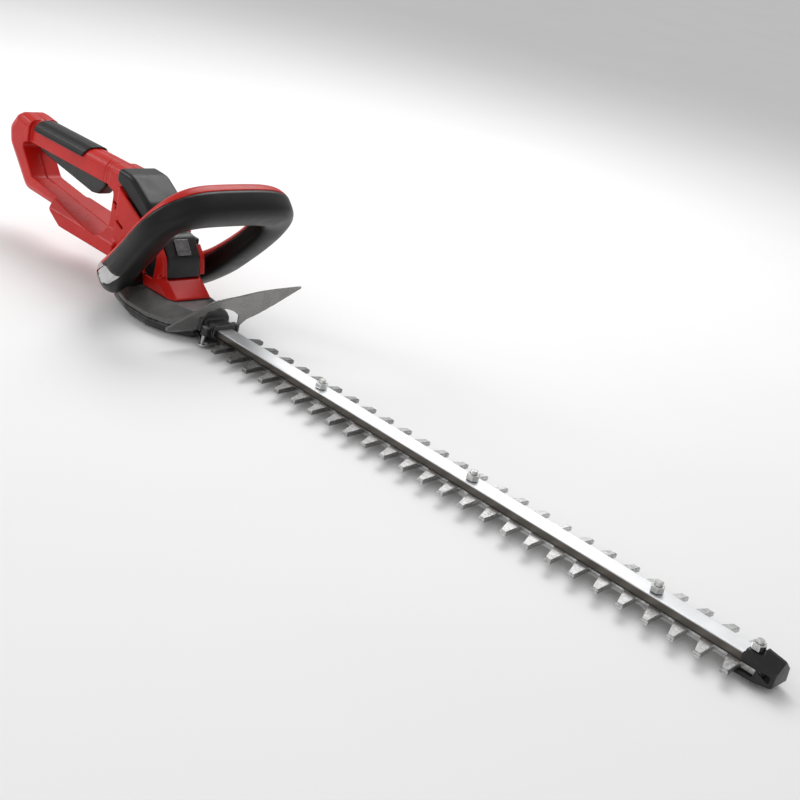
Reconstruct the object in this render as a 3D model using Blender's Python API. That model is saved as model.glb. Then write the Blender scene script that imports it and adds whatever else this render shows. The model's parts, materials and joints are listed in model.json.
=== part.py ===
"""Cordless hedge trimmer, modelled as the pieces that come apart on a bench.

Frame: metres, +X along the blade to its tip, +Z up, +Y to the operator's left.
The origin lies on the flat underside of the gearbox, on the drive gear's axis.
"""

import math

import bmesh
import bpy
from mathutils import Vector

MM = 0.001
GAP = 0.3 * MM              # clearance kept between pieces that touch

# Cutter
TOOTH_PITCH = 22 * MM
TOOTH_COUNT = 26            # teeth on each side of a blade
FIRST_TOOTH_X = 105.4 * MM
TOOTH_REACH = 30.8 * MM     # from the centre line to a tooth tip
TOOTH_TIP = 6 * MM
TOOTH_ROOT = 11 * MM
TOOTH_LEAN = 5 * MM         # how far ahead of its root a tooth's tip lies
TOOTH_STAGGER = 5.7 * MM    # how far the left teeth lie behind the right ones
BAR_HALF = 10 * MM          # half width of the bar between the teeth
BLADE_THICK = 2.2 * MM
BLADE_BASE_Z = 6.9 * MM     # underside of the lower blade
BLADE_END_MARGIN = 21 * MM  # bar beyond the last tooth
CRANK = 5.5 * MM            # eccentric throw, half of the stroke

# Guide rail and its bolts
RAIL_HALF = 8.9 * MM
RAIL_TALL = 6.1 * MM
RAIL_WALL = 1.6 * MM
RAIL_START_X = 86.5 * MM
BOLT_FIRST_X = 221 * MM
BOLT_SPACING = 180 * MM
BOLT_COUNT = 3
BOLT_RADIUS = 3 * MM
NUT_TALL = 5 * MM
NUT_RADIUS = 5.6 * MM

# Gear train
MODULE = 1.0 * MM
PINION_TEETH = 11
GEAR_TEETH = 65
GEAR_THICK = 4.5 * MM
PINION_THICK = 6 * MM
ECCENTRIC_RADIUS = 10.5 * MM
PIN_RADIUS = 3 * MM
SHAFT_RADIUS = 2.5 * MM

# Motor
MOTOR_RADIUS = 20 * MM
MOTOR_TALL = 46 * MM
MOTOR_BASE_Z = 31 * MM

# Gearbox shells
SHELL_WALL = 2.5 * MM
SHELL_HALF = 45 * MM
SHELL_SPLIT_Z = 11 * MM
SHELL_TOP_Z = 27 * MM

# Rear handle and body
BODY_HALF = 30 * MM
COVER_HALF = 22.5 * MM
HANDLE_HALF = 18 * MM
GRIP_HALF = 14.3 * MM
GRIP_ARCH = 15 * MM          # height of the grip's rounded top
GRIP_TOP_Z = 119 * MM
GRIP_UNDER_Z = 96 * MM
HOUSING_WALL = 3 * MM
MOTOR_BODY_HALF = MOTOR_RADIUS + 2.5 * MM + HOUSING_WALL
OVERMOULD_THICK = 1.6 * MM
TRIGGER_HALF = 7.7 * MM

# Front loop handle
LOOP_X = 18 * MM
LOOP_Z = 69 * MM
LOOP_LEAN = 45.5            # degrees above the horizontal
LOOP_HALF_WIDE = 63.7 * MM
LOOP_RISE = 77.8 * MM
LOOP_DROP = 62 * MM
LOOP_POWER = 3.85
LOOP_FLARE = 0.15
LOOP_BOW = 9.3 * MM
BAR_WIDE = 36 * MM
BAR_DEEP = 35 * MM
ARM_DEEP = 25 * MM
LOOP_WALL = 2.8 * MM
LOOP_SPLIT = 6 * MM         # the seam between the shells, behind the mid surface

# Hand guard
GUARD_X = 72 * MM
GUARD_THICK = 2.6 * MM

# Tip guard
TIP_GUARD_LENGTH = 27 * MM
TIP_GUARD_HALF = 15 * MM

MATERIALS = {
    "red_plastic": ((0.50, 0.025, 0.02), 0.38, 0.0),
    "black_plastic": ((0.02, 0.02, 0.02), 0.5, 0.0),
    "soft_grip": ((0.03, 0.03, 0.03), 0.75, 0.0),
    "grey_plastic": ((0.16, 0.16, 0.16), 0.45, 0.0),
    "dark_grey_plastic": ((0.06, 0.06, 0.06), 0.5, 0.0),
    "clear_plastic": ((0.55, 0.55, 0.55), 0.15, 0.0),
    "steel": ((0.55, 0.55, 0.53), 0.35, 1.0),
    "rail_steel": ((0.6, 0.6, 0.58), 0.3, 1.0),
    "zinc": ((0.7, 0.7, 0.7), 0.3, 1.0),
    "cast_metal": ((0.08, 0.08, 0.08), 0.45, 0.6),
    "board": ((0.03, 0.16, 0.06), 0.5, 0.0),
}

for old in list(bpy.data.objects):
    bpy.data.objects.remove(old, do_unlink=True)


# --- shared tools -----------------------------------------------------------

def material(name):
    """One Principled material for each finish."""
    found = bpy.data.materials.get(name)
    if found:
        return found
    colour, roughness, metallic = MATERIALS[name]
    made = bpy.data.materials.new(name)
    made.use_nodes = True
    shader = made.node_tree.nodes["Principled BSDF"]
    shader.inputs["Base Color"].default_value = (*colour, 1.0)
    shader.inputs["Roughness"].default_value = roughness
    shader.inputs["Metallic"].default_value = metallic
    made.diffuse_color = (*colour, 1.0)
    return made


def solid(verts, faces):
    """A working object from points and faces, with its normals outward."""
    mesh = bpy.data.meshes.new("work")
    mesh.from_pydata([tuple(v) for v in verts], [], faces)
    bm = bmesh.new()
    bm.from_mesh(mesh)
    bmesh.ops.recalc_face_normals(bm, faces=bm.faces)
    bm.to_mesh(mesh)
    bm.free()
    made = bpy.data.objects.new("work", mesh)
    bpy.context.scene.collection.objects.link(made)
    return made


def loft(rings, closed=False):
    """A skin through rings of equal length, capped unless it closes on itself."""
    count = len(rings[0])
    verts = [p for ring in rings for p in ring]
    faces = []
    spans = len(rings) if closed else len(rings) - 1
    for i in range(spans):
        a = i * count
        b = ((i + 1) % len(rings)) * count
        for j in range(count):
            k = (j + 1) % count
            faces.append((a + j, a + k, b + k, b + j))
    if not closed:
        last = (len(rings) - 1) * count
        faces.append(tuple(range(count)))
        faces.append(tuple(range(last, last + count)))
    return solid(verts, faces)


def prism(outline, low, high, axis="Y"):
    """An outline pushed along an axis. Y takes (x, z), Z takes (x, y), X takes (y, z)."""
    def at(p, level):
        if axis == "Y":
            return (p[0], level, p[1])
        if axis == "Z":
            return (p[0], p[1], level)
        return (level, p[0], p[1])
    return loft([[at(p, low) for p in outline], [at(p, high) for p in outline]])


def box(x0, x1, y0, y1, z0, z1):
    return prism([(x0, y0), (x1, y0), (x1, y1), (x0, y1)], z0, z1, "Z")


def rounded(corners, steps=4):
    """An outline with each (x, y, radius) corner turned into an arc."""
    points = []
    total = len(corners)
    for i, (x, y, radius) in enumerate(corners):
        if radius <= 0:
            points.append((x, y))
            continue
        px, py = corners[i - 1][:2]
        nx, ny = corners[(i + 1) % total][:2]
        ax, ay = px - x, py - y
        bx, by = nx - x, ny - y
        la, lb = math.hypot(ax, ay), math.hypot(bx, by)
        ax, ay, bx, by = ax / la, ay / la, bx / lb, by / lb
        half = math.acos(max(-1.0, min(1.0, ax * bx + ay * by))) / 2
        reach = min(radius / math.tan(half), 0.48 * la, 0.48 * lb)
        radius = reach * math.tan(half)
        middle = radius / math.sin(half)
        mx, my = ax + bx, ay + by
        ml = math.hypot(mx, my)
        cx, cy = x + mx / ml * middle, y + my / ml * middle
        start = math.atan2(y + ay * reach - cy, x + ax * reach - cx)
        end = math.atan2(y + by * reach - cy, x + bx * reach - cx)
        turn = (end - start + math.pi) % (2 * math.pi) - math.pi
        for k in range(steps + 1):
            angle = start + turn * k / steps
            points.append((cx + radius * math.cos(angle), cy + radius * math.sin(angle)))
    return points


def circle(cx, cy, radius, count, phase=0.0):
    step = 2 * math.pi / count
    return [(cx + radius * math.cos(phase + i * step), cy + radius * math.sin(phase + i * step))
            for i in range(count)]


def rod(cx, cy, radius, low, high, axis="Z", count=24, phase=0.0):
    return prism(circle(cx, cy, radius, count, phase), low, high, axis)


def turned(profile, cx, cy, count=32):
    """A piece turned about a vertical axis, from a closed (radius, z) profile."""
    rings = []
    for i in range(count):
        angle = 2 * math.pi * i / count
        c, s = math.cos(angle), math.sin(angle)
        rings.append([(cx + r * c, cy + r * s, z) for r, z in profile])
    return loft(rings, closed=True)


def ring(cx, cy, inner, outer, low, high, count=32):
    return turned([(inner, low), (outer, low), (outer, high), (inner, high)], cx, cy, count)


def apply_modifiers(target):
    depsgraph = bpy.context.evaluated_depsgraph_get()
    target.data = bpy.data.meshes.new_from_object(target.evaluated_get(depsgraph))
    target.modifiers.clear()


def combine(target, tool, operation, solver):
    """Cuts with, or joins, another working object and discards that object."""
    change = target.modifiers.new("change", "BOOLEAN")
    change.operation = operation
    change.object = tool
    change.solver = solver
    apply_modifiers(target)
    bpy.data.objects.remove(tool, do_unlink=True)
    return target


def cut(target, *tools, solver="EXACT"):
    for tool in tools:
        combine(target, tool, "DIFFERENCE", solver)
    return target


def join(target, *tools, solver="EXACT"):
    for tool in tools:
        combine(target, tool, "UNION", solver)
    return target


def soften(target, width, segments=2, angle=40):
    """Rounds the sharp edges of a working object."""
    edge = target.modifiers.new("edge", "BEVEL")
    edge.width = width
    edge.segments = segments
    edge.limit_method = "ANGLE"
    edge.angle_limit = math.radians(angle)
    edge.use_clamp_overlap = True
    apply_modifiers(target)
    return target


def finish(target, name, finish_name, origin=(0.0, 0.0, 0.0), smooth=35):
    """Names a piece, puts its origin in place and gives it its material."""
    mesh = target.data
    for vertex in mesh.vertices:
        vertex.co.x -= origin[0]
        vertex.co.y -= origin[1]
        vertex.co.z -= origin[2]
    target.location = origin
    mesh.materials.clear()
    mesh.materials.append(material(finish_name))
    for face in mesh.polygons:
        face.material_index = 0
    mesh.shade_smooth()
    mesh.set_sharp_from_angle(angle=math.radians(smooth))
    target.name = name
    mesh.name = name
    return target


# --- cutter -----------------------------------------------------------------

BLADE_UPPER_Z = BLADE_BASE_Z + BLADE_THICK + GAP
BLADE_TOP_Z = BLADE_UPPER_Z + BLADE_THICK
LAST_TOOTH_X = FIRST_TOOTH_X + (TOOTH_COUNT - 1) * TOOTH_PITCH
BLADE_END_X = LAST_TOOTH_X + BLADE_END_MARGIN
RAIL_BASE_Z = BLADE_TOP_Z + GAP
RAIL_TOP_Z = RAIL_BASE_Z + RAIL_TALL
BOLT_X = [BOLT_FIRST_X + i * BOLT_SPACING for i in range(BOLT_COUNT)]
TIP_BOLT_X = LAST_TOOTH_X + 9.5 * MM
BOLTS_X = BOLT_X + [TIP_BOLT_X]
GUARD_SLOT_X = BLADE_END_X + CRANK + 2 * MM
TIP_GUARD_END_X = GUARD_SLOT_X + 3 * MM
TIP_GUARD_START_X = TIP_GUARD_END_X - TIP_GUARD_LENGTH
TIP_SEAT_Z = RAIL_TOP_Z + 2.5 * MM
SLOT_HALF_X = BOLT_RADIUS + CRANK + 2 * GAP
SLOT_HALF_Y = BOLT_RADIUS + 2 * GAP
YOKE_HALF_X = ECCENTRIC_RADIUS + 2 * CRANK + 2 * GAP
YOKE_HALF_Y = ECCENTRIC_RADIUS + CRANK + 2 * GAP
YOKE_RIM = 4.5 * MM


def toothed_outline():
    """The blade seen from above. Both rows of teeth lean towards the tip."""
    yoke_front = YOKE_HALF_X + YOKE_RIM
    yoke_side = YOKE_HALF_Y + YOKE_RIM
    points = [(-yoke_front, yoke_side), (-yoke_front, -yoke_side), (yoke_front, -yoke_side),
              (yoke_front + 12 * MM, -BAR_HALF)]
    for side, first in ((-1, FIRST_TOOTH_X), (1, FIRST_TOOTH_X - TOOTH_STAGGER)):
        run = []
        for i in range(TOOTH_COUNT):
            x = first + i * TOOTH_PITCH
            tip = x + TOOTH_LEAN
            run += [(x - TOOTH_ROOT / 2, side * BAR_HALF), (tip - TOOTH_TIP / 2, side * TOOTH_REACH),
                    (tip + TOOTH_TIP / 2, side * TOOTH_REACH), (x + TOOTH_ROOT / 2, side * BAR_HALF)]
        if side > 0:
            run.reverse()
            points += [(BLADE_END_X, -BAR_HALF), (BLADE_END_X, BAR_HALF)]
        points += run
    points += [(yoke_front + 12 * MM, BAR_HALF), (yoke_front, yoke_side)]
    return points


def blade(name, low):
    made = prism(toothed_outline(), low, low + BLADE_THICK, "Z")
    window = rounded([(-YOKE_HALF_X, -YOKE_HALF_Y, 4 * MM), (YOKE_HALF_X, -YOKE_HALF_Y, 4 * MM),
                      (YOKE_HALF_X, YOKE_HALF_Y, 4 * MM), (-YOKE_HALF_X, YOKE_HALF_Y, 4 * MM)], 3)
    cut(made, prism(window, low - MM, low + BLADE_THICK + MM, "Z"))
    for x in BOLTS_X:
        slot = rounded([(x - SLOT_HALF_X, -SLOT_HALF_Y, SLOT_HALF_Y),
                        (x + SLOT_HALF_X, -SLOT_HALF_Y, SLOT_HALF_Y),
                        (x + SLOT_HALF_X, SLOT_HALF_Y, SLOT_HALF_Y),
                        (x - SLOT_HALF_X, SLOT_HALF_Y, SLOT_HALF_Y)], 3)
        cut(made, prism(slot, low - MM, low + BLADE_THICK + MM, "Z"))
    return finish(made, name, "steel", origin=(0.0, 0.0, low), smooth=20)


def guide_rail():
    """A folded steel channel, open at the bottom, that backs both blades."""
    end = TIP_GUARD_START_X - GAP
    low, high = RAIL_BASE_Z, RAIL_TOP_Z
    inner = RAIL_HALF - RAIL_WALL
    section = [(-RAIL_HALF, low), (-inner, low), (-inner, high - RAIL_WALL), (inner, high - RAIL_WALL),
               (inner, low), (RAIL_HALF, low), (RAIL_HALF, high - 0.8 * MM), (RAIL_HALF - 0.8 * MM, high),
               (0.8 * MM - RAIL_HALF, high), (-RAIL_HALF, high - 0.8 * MM)]
    made = prism(section, RAIL_START_X, end, "X")
    for x in BOLT_X:
        cut(made, rod(x, 0.0, BOLT_RADIUS + GAP, low, high + MM, count=16))
    return finish(made, "guide_rail", "rail_steel")


def rail_bolt(name, x, top):
    """A slotted-shank bolt whose head carries the lower blade."""
    head_low = BLADE_BASE_Z - GAP - 2.5 * MM
    made = turned([(0.0001 * MM, head_low), (7.5 * MM, head_low), (8 * MM, head_low + 0.6 * MM),
                   (8 * MM, BLADE_BASE_Z - GAP), (BOLT_RADIUS, BLADE_BASE_Z - GAP),
                   (BOLT_RADIUS, top - 0.6 * MM), (BOLT_RADIUS - 0.6 * MM, top), (0.0001 * MM, top)], x,
                  0.0, 16)
    return finish(weld(made), name, "zinc")


def weld(target):
    """Merges the points of a turned piece that meet on its axis."""
    bm = bmesh.new()
    bm.from_mesh(target.data)
    bmesh.ops.remove_doubles(bm, verts=bm.verts, dist=0.00001)
    bmesh.ops.recalc_face_normals(bm, faces=bm.faces)
    bm.to_mesh(target.data)
    bm.free()
    return target


def nut(name, x, low):
    made = prism(circle(x, 0.0, NUT_RADIUS, 6), low, low + NUT_TALL, "Z")
    soften(made, 0.5 * MM, 1)
    cut(made, rod(x, 0.0, BOLT_RADIUS + GAP, low - MM, low + NUT_TALL + MM, count=16))
    return finish(made, name, "zinc")


blade("lower_blade", BLADE_BASE_Z)
blade("upper_blade", BLADE_UPPER_Z)
guide_rail()
for index, bolt_x in enumerate(BOLT_X):
    rail_bolt(f"rail_bolt_{index + 1}", bolt_x, RAIL_TOP_Z + NUT_TALL + 3.5 * MM)
    nut(f"rail_nut_{index + 1}", bolt_x, RAIL_TOP_Z + GAP)


def tip_guard():
    """A plastic cap over the blade ends: a ridge roof with skirts, open to the rear."""
    x0, x1 = TIP_GUARD_START_X, TIP_GUARD_END_X
    half = TIP_GUARD_HALF
    rings = []
    for x, skirt, floor, crest in ((x0, half, 3.6 * MM, 27.5 * MM),
                                   (x0 + 0.55 * (x1 - x0), half - MM, 4 * MM, 25 * MM),
                                   (x1 - 1.5 * MM, 0.74 * half, 4.6 * MM, 23.4 * MM),
                                   (x1, 0.70 * half, 5.4 * MM, 22.6 * MM)):
        side = [(skirt, floor), (RAIL_HALF + 0.6 * MM, 15.8 * MM), (1.4 * MM, crest)]
        rings.append([(x, -y, z) for y, z in side] + [(x, y, z) for y, z in reversed(side)])
    made = loft(rings)
    slot_low, slot_high = BLADE_BASE_Z - 2 * GAP, BLADE_TOP_Z + 2 * GAP
    wide_end = LAST_TOOTH_X + TOOTH_LEAN + TOOTH_ROOT / 2 + CRANK + MM
    cut(made,
        box(x0 - MM, GUARD_SLOT_X, -BAR_HALF - MM, BAR_HALF + MM, slot_low, slot_high),
        box(x0 - MM, wide_end, -half - 9 * MM, half + 9 * MM, slot_low, slot_high),
        box(x0 - MM, TIP_BOLT_X + NUT_RADIUS + MM, -half, half, TIP_SEAT_Z, 40 * MM),
        rod(TIP_BOLT_X, 0.0, BOLT_RADIUS + GAP, 0.0, 40 * MM, count=16),
        rod(TIP_BOLT_X, 0.0, 8 * MM + GAP, 0.0, slot_low - MM, count=16), solver="MANIFOLD")
    return finish(made, "tip_guard", "black_plastic")


def tip_bolt():
    low = BLADE_BASE_Z - 4.6 * MM
    head = low + 2.4 * MM
    top = TIP_SEAT_Z + NUT_TALL + 3 * MM
    made = turned([(0.0001 * MM, low), (7.4 * MM, low), (7.8 * MM, low + 0.5 * MM), (7.8 * MM, head),
                   (BOLT_RADIUS, head), (BOLT_RADIUS, top - 0.6 * MM),
                   (BOLT_RADIUS - 0.6 * MM, top), (0.0001 * MM, top)], TIP_BOLT_X, 0.0, 16)
    return finish(weld(made), "tip_bolt", "zinc")


tip_guard()
tip_bolt()
nut("tip_nut", TIP_BOLT_X, TIP_SEAT_Z + GAP)


# --- gear train and motor ---------------------------------------------------

PINION_RADIUS = MODULE * PINION_TEETH / 2
GEAR_RADIUS = MODULE * GEAR_TEETH / 2
BACKLASH = 0.25 * MM
MOTOR_X = -(PINION_RADIUS + GEAR_RADIUS + BACKLASH)
MOTOR_BAY_X = MOTOR_X - MOTOR_RADIUS - 0.75 * MM - HOUSING_WALL   # the outer rear face round the motor
GEAR_BASE_Z = BLADE_TOP_Z + 2 * GAP + 0.3 * MM
GEAR_TOP_Z = GEAR_BASE_Z + GEAR_THICK
GEAR_AXIS = (0.0, 0.0, GEAR_BASE_Z)
MOTOR_AXIS = (MOTOR_X, 0.0, GEAR_BASE_Z)


def toothed_wheel(cx, cy, teeth, low, high, bore, first_angle):
    """A spur wheel with straight-flanked teeth and room at the root."""
    pitch_radius = MODULE * teeth / 2
    outer = pitch_radius + 0.85 * MODULE
    root = pitch_radius - 1.15 * MODULE
    step = 2 * math.pi / teeth
    outline = []
    for i in range(teeth):
        middle = first_angle + i * step
        for share, radius in ((-0.34, root), (-0.12, outer), (0.12, outer), (0.34, root)):
            angle = middle + share * step
            outline.append((cx + radius * math.cos(angle), cy + radius * math.sin(angle)))
    made = prism(outline, low, high, "Z")
    return cut(made, rod(cx, cy, bore, low - MM, high + MM, count=20))


def gear_train():
    gear = toothed_wheel(0.0, 0.0, GEAR_TEETH, GEAR_BASE_Z, GEAR_TOP_Z, PIN_RADIUS + GAP, 0.0)
    lighten = [rod(19 * MM * math.cos(a), 19 * MM * math.sin(a), 6 * MM, GEAR_BASE_Z - MM,
                   GEAR_TOP_Z + MM, count=14)
               for a in (math.radians(30 + 60 * i) for i in range(6))]
    cut(gear, *lighten)
    finish(gear, "drive_gear", "steel", GEAR_AXIS, 25)
    pinion = toothed_wheel(MOTOR_X, 0.0, PINION_TEETH, GEAR_BASE_Z, GEAR_BASE_Z + PINION_THICK,
                           SHAFT_RADIUS + GAP, 0.0)
    finish(pinion, "motor_pinion", "steel", MOTOR_AXIS, 25)
    pin = turned([(0.0001 * MM, SHELL_WALL + GAP), (10 * MM, SHELL_WALL + GAP), (10 * MM, 5 * MM),
                  (PIN_RADIUS, 5 * MM), (PIN_RADIUS, SHELL_TOP_Z - SHELL_WALL - GAP),
                  (0.0001 * MM, SHELL_TOP_Z - SHELL_WALL - GAP)], 0.0, 0.0, 20)
    finish(weld(pin), "gear_pin", "steel")
    for name, low, side in (("lower_eccentric", BLADE_BASE_Z - GAP, -1),
                            ("upper_eccentric", BLADE_UPPER_Z + 0.1 * MM, 1)):
        disc = rod(0.0, side * CRANK, ECCENTRIC_RADIUS, low, low + BLADE_THICK + GAP, count=32)
        cut(disc, rod(0.0, 0.0, PIN_RADIUS + GAP, low - MM, low + 5 * MM, count=20))
        finish(disc, name, "steel", GEAR_AXIS)


def motor():
    base = MOTOR_BASE_Z
    top = base + MOTOR_TALL
    bore = SHAFT_RADIUS + GAP
    can = turned([(bore + 4 * MM, base), (MOTOR_RADIUS - MM, base), (MOTOR_RADIUS, base + MM),
                  (MOTOR_RADIUS, top), (bore + 4 * MM, top)], MOTOR_X, 0.0, 30)
    finish(can, "motor_can", "steel")
    cap = turned([(bore + 4 * MM, top + GAP), (MOTOR_RADIUS - 0.5 * MM, top + GAP),
                  (MOTOR_RADIUS - 0.5 * MM, top + 4 * MM), (12 * MM, top + 5.5 * MM),
                  (bore + 4 * MM, top + 5.5 * MM)], MOTOR_X, 0.0, 30)
    finish(cap, "motor_end_cap", "black_plastic")
    shaft = rod(MOTOR_X, 0.0, SHAFT_RADIUS, GEAR_BASE_Z + 0.2 * MM, top + 15 * MM, count=20)
    finish(shaft, "motor_shaft", "steel", MOTOR_AXIS)
    for name, low in (("lower_bearing", base + 0.5 * MM), ("upper_bearing", top - 1.5 * MM)):
        finish(ring(MOTOR_X, 0.0, bore, bore + 4 * MM - GAP, low, low + 5 * MM, 18), name, "zinc")
    plate_low = SHELL_TOP_Z + GAP
    plate = ring(MOTOR_X, 0.0, 8 * MM, MOTOR_RADIUS + 0.4 * MM, plate_low, base - GAP, 30)
    finish(plate, "motor_plate", "zinc")
    hub_low = top + 7 * MM
    fan = rod(MOTOR_X, 0.0, 15 * MM, hub_low, hub_low + 1.2 * MM, count=32)
    join(fan, rod(MOTOR_X, 0.0, 5 * MM, hub_low + 0.5 * MM, hub_low + 7 * MM, count=20))
    for i in range(9):
        angle = 2 * math.pi * i / 9
        c, s = math.cos(angle), math.sin(angle)
        root, tip, half = 4 * MM, 14.5 * MM, 0.6 * MM
        outline = [(MOTOR_X + root * c - half * s, root * s + half * c),
                   (MOTOR_X + root * c + half * s, root * s - half * c),
                   (MOTOR_X + tip * c + half * s, tip * s - half * c),
                   (MOTOR_X + tip * c - half * s, tip * s + half * c)]
        join(fan, prism(outline, hub_low + 0.5 * MM, hub_low + 6.5 * MM, "Z"))
    cut(fan, rod(MOTOR_X, 0.0, bore, hub_low - MM, hub_low + 9 * MM, count=20))
    finish(fan, "motor_fan", "black_plastic", MOTOR_AXIS)


gear_train()
motor()


# --- gearbox shells ---------------------------------------------------------

SHELL_PLAN = [(-50, 26), (-38, 36), (-8, 45), (26, 45), (46, 37), (64, 19)]
SHELL_CROWN = [(-47, 22), (-36, 24), (-8, 25), (20, 25), (37, 23), (59, 16)]


def plan_ring(points, level, inset=0.0):
    """A symmetric outline at one height. Points are millimetres from the gear axis."""
    share = SHELL_HALF / (45 * MM)
    right = []
    for x, y in points:
        right.append((x * MM - inset * (1 if x > 0 else -1), -(y * MM * share - inset), level))
    left = [(x, -y, z) for x, y, z in reversed(right)]
    return right + left


def gearbox():
    split = SHELL_SPLIT_Z
    lower = loft([plan_ring(SHELL_PLAN, 0.0, 6 * MM), plan_ring(SHELL_PLAN, 5 * MM, 1.5 * MM),
                  plan_ring(SHELL_PLAN, 8 * MM), plan_ring(SHELL_PLAN, split - GAP)])
    inner = loft([plan_ring(SHELL_PLAN, SHELL_WALL, 7.5 * MM), plan_ring(SHELL_PLAN, 6 * MM, 4 * MM),
                  plan_ring(SHELL_PLAN, split + MM, SHELL_WALL)])
    neck = box(40 * MM, 80 * MM, -BAR_HALF - MM, BAR_HALF + MM, BLADE_BASE_Z - 0.6 * MM, split + MM)
    cut(lower, inner, neck)
    finish(lower, "gearbox_lower_shell", "dark_grey_plastic", smooth=20)
    upper = loft([plan_ring(SHELL_PLAN, split), plan_ring(SHELL_PLAN, split + 4 * MM),
                  plan_ring(SHELL_CROWN, SHELL_TOP_Z)])
    inner = loft([plan_ring(SHELL_PLAN, split - MM, SHELL_WALL),
                  plan_ring(SHELL_PLAN, split + 4 * MM, SHELL_WALL),
                  plan_ring(SHELL_CROWN, SHELL_TOP_Z - SHELL_WALL, SHELL_WALL)])
    neck = box(40 * MM, 80 * MM, -BAR_HALF - MM, BAR_HALF + MM, split - MM, BLADE_TOP_Z + MM)
    cut(upper, inner, neck, rod(MOTOR_X, 0.0, 8.5 * MM, split, SHELL_TOP_Z + MM, count=24))
    finish(upper, "gearbox_upper_shell", "grey_plastic", smooth=20)


gearbox()


# --- neck clamp and hand guard ----------------------------------------------

NECK_REAR_X = 64.5 * MM
NECK_FRONT_X = RAIL_START_X - GAP


def neck():
    """The cast bracket that grips the blade stack ahead of the gearbox."""
    top_low = BLADE_TOP_Z + GAP
    bridge = prism(rounded([(-17 * MM, top_low, 0), (17 * MM, top_low, 0), (16 * MM, 24 * MM, 5 * MM),
                            (9 * MM, 31 * MM, 5 * MM), (-9 * MM, 31 * MM, 5 * MM),
                            (-16 * MM, 24 * MM, 5 * MM)], 3), NECK_REAR_X, GUARD_X - GAP, "X")
    saddle = prism(rounded([(-13 * MM, top_low, 0), (13 * MM, top_low, 0), (12 * MM, 22 * MM, 3 * MM),
                            (-12 * MM, 22 * MM, 3 * MM)], 3), GUARD_X - MM, NECK_FRONT_X, "X")
    join(bridge, saddle)
    lug_low = BLADE_TOP_Z + GAP
    for side in (-1, 1):
        join(bridge, rod(80 * MM, side * 17 * MM, 4.5 * MM, lug_low, 20 * MM, count=20))
        cut(bridge, rod(80 * MM, side * 18.5 * MM, 2 * MM + GAP, lug_low - MM, 21 * MM, count=12))
    finish(bridge, "neck_clamp", "cast_metal")
    plate_high = BLADE_BASE_Z - GAP
    plate = prism(rounded([(66 * MM, -14 * MM, 2 * MM), (88 * MM, -23 * MM, 5 * MM),
                           (88 * MM, 23 * MM, 5 * MM), (66 * MM, 14 * MM, 2 * MM)], 3),
                  plate_high - 3 * MM, plate_high, "Z")
    for side in (-1, 1):
        cut(plate, rod(80 * MM, side * 18.5 * MM, 2 * MM + GAP, 0.0, 21 * MM, count=12))
    finish(plate, "neck_plate", "cast_metal")
    for name, side in (("neck_screw_right", -1), ("neck_screw_left", 1)):
        y = side * 18.5 * MM
        low, top = plate_high - 3 * MM - GAP, 20 * MM + GAP
        screw = turned([(0.0001 * MM, low - 2 * MM), (3.4 * MM, low - 2 * MM), (3.8 * MM, low - 1.4 * MM),
                        (3.8 * MM, low),
                        (2 * MM, low), (2 * MM, top - GAP), (0.0001 * MM, top - GAP)], 80 * MM, y, 14)
        finish(weld(screw), name, "zinc")


def hand_guard():
    """A clear shield: the left wing rises and the right wing falls."""
    stations = [
        # y, lean forward, lower edge, upper edge (millimetres)
        (-58, 0, 17, 20), (-50, 0, 15.5, 23.5), (-36, 0, 15, 29.5), (-23.4, 0, 15, 34.5),
                (-22.8, 0, 26, 35.2),
        (-17.6, 0, 30, 37.2), (-9, 0, 33, 40.5), (0, 0, 34, 42), (9, 1, 33, 43.5), (17.6, 2, 30, 44.8),
                (22.8, 3, 26, 45.8),
        (23.4, 3, 14, 46), (30, 5, 22, 48), (42, 9, 29, 51.5), (56, 16, 41, 55.5), (68, 23, 53, 59),
                (73, 26, 58.5, 60.5)]
    rings = []
    for y, lean, low, high in stations:
        x = GUARD_X + lean * MM
        rings.append([(x, y * MM, low * MM), (x + GUARD_THICK, y * MM, low * MM),
                      (x + GUARD_THICK, y * MM, high * MM), (x, y * MM, high * MM)])
    made = loft(rings)
    return finish(made, "hand_guard", "clear_plastic", smooth=50)


neck()
hand_guard()


# --- rear handle and body ---------------------------------------------------

COLUMN_REAR_X = -86 * MM
BODY_FRONT_X = -12 * MM
BODY_REAR_X = -68 * MM
PARTING_REAR = (-77 * MM, 108 * MM)        # where the motor cover's edge turns forward
PARTING_FRONT = (BODY_FRONT_X, 77 * MM)    # where it meets the nose
BODY_UNDER_Z = 36 * MM
BAY_ROOF_Z = 43 * MM
BLOCK_TOP_Z = 59.5 * MM                           # the battery block's top, inside the lower bar
BLOCK_SHOULDER_Z = 49 * MM                        # where it reaches full width
NOTCH_FROM = 71 * MM                              # each loop foot is notched outside this
NOSE_HALF = MOTOR_BODY_HALF - 0.5 * MM
NOSE_CHAMFER = 6.5 * MM                            # the pale facet at each front corner of the nose
TRIGGER_PIVOT = (-228 * MM, 0.0, 101 * MM)


def parting_z(x):
    """Height of the edge between the housing and the motor cover."""
    share = (x - PARTING_REAR[0]) / (PARTING_FRONT[0] - PARTING_REAR[0])
    return PARTING_REAR[1] + share * (PARTING_FRONT[1] - PARTING_REAR[1])


def handle_outline():
    return rounded([(-240 * MM, 47 * MM, 18 * MM), (-176 * MM, 45 * MM, 8 * MM),
                    (-120 * MM, 38 * MM, 8 * MM),
                    (-60 * MM, 38 * MM, 0), (-60 * MM, GRIP_TOP_Z, 0),
                    (-244 * MM, GRIP_TOP_Z + MM, 8 * MM),
                    (-268 * MM, GRIP_TOP_Z + 4 * MM, 14 * MM), (-283 * MM, 103 * MM, 10 * MM),
                    (-279 * MM, 86 * MM, 16 * MM)], 4)


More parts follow.
